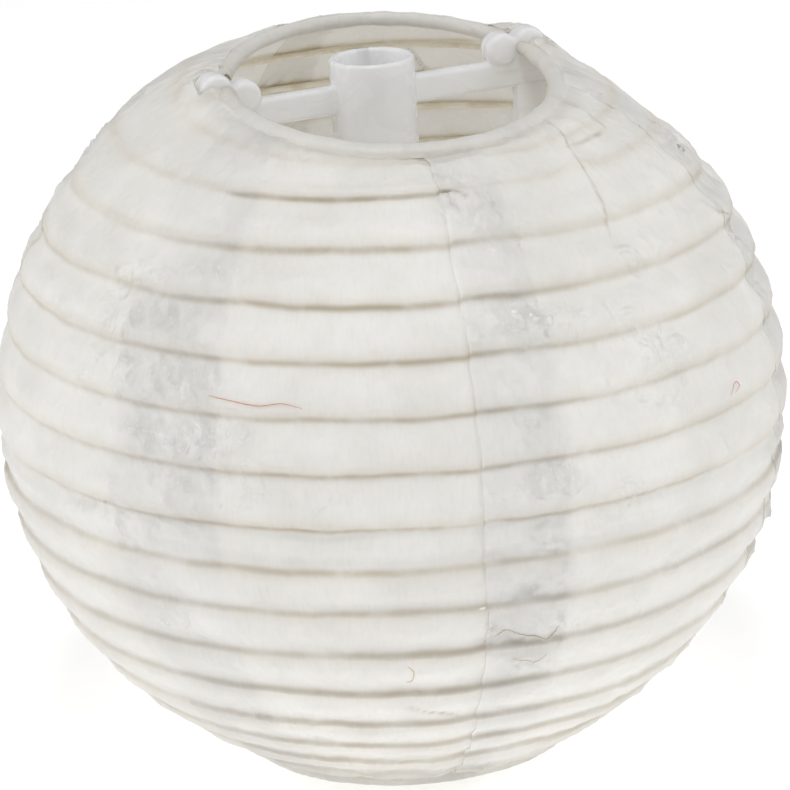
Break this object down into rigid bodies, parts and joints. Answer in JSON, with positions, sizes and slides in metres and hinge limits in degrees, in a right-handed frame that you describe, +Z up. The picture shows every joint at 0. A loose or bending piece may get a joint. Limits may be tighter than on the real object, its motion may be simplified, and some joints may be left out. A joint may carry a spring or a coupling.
{
  "type": "miniature paper globe lantern",
  "caption": "Small ribbed rice-paper globe lantern with open top and bottom rings, an inner wire rib spiral and a moulded expander that carries a bulb tube.",
  "frame": {"origin": "on the surface the lantern stands on, under the middle of the globe", "axes": "+Z up along the globe's axis, X along the expander's arms; the top ring leans towards -Y"},
  "size_m": [0.075, 0.075, 0.0686],
  "materials": {
    "rice_paper": "matte fibrous handmade-look paper with glue sheen along the ribs",
    "ring_wire": "dull drawn wire",
    "rib_wire": "dull drawn wire with glue stains",
    "frosted_plastic": "glossy milky translucent moulding"
  },
  "bodies": {
    "lantern": {"top_ring": "ring_wire", "rib_spiral": "rib_wire", "paper_gore_1": "rice_paper", "paper_gore_2": "rice_paper", "paper_gore_3": "rice_paper", "paper_gore_4": "rice_paper", "paper_gore_5": "rice_paper", "paper_gore_6": "rice_paper", "expander": "frosted_plastic"},
    "base": {"bottom_ring": "ring_wire"},
    "right_leg": {"leg_right": "frosted_plastic"},
    "left_leg": {"leg_left": "frosted_plastic"}
  },
  "joints": [
    {"name": "collapse", "type": "slide", "parent": "lantern", "child": "base", "axis": [0, 0, 1], "range_m": [0, 0.045], "deforming": ["rib_spiral", "paper_gore_1", "paper_gore_2", "paper_gore_3", "paper_gore_4", "paper_gore_5", "paper_gore_6"]},
    {"name": "right_leg_flex", "type": "hinge", "parent": "lantern", "child": "right_leg", "pos_m": [0.015, 0, 0.06175], "axis": [0, 1, 0], "range_deg": [0, 10.5]},
    {"name": "left_leg_flex", "type": "hinge", "parent": "lantern", "child": "left_leg", "pos_m": [-0.015, 0, 0.06175], "axis": [0, -1, 0], "range_deg": [0, 10.5]}
  ],
  "couplings": [
    {"joint": "right_leg_flex", "follows": "collapse", "rad_per_m": 4},
    {"joint": "left_leg_flex", "follows": "collapse", "rad_per_m": 4}
  ]
}
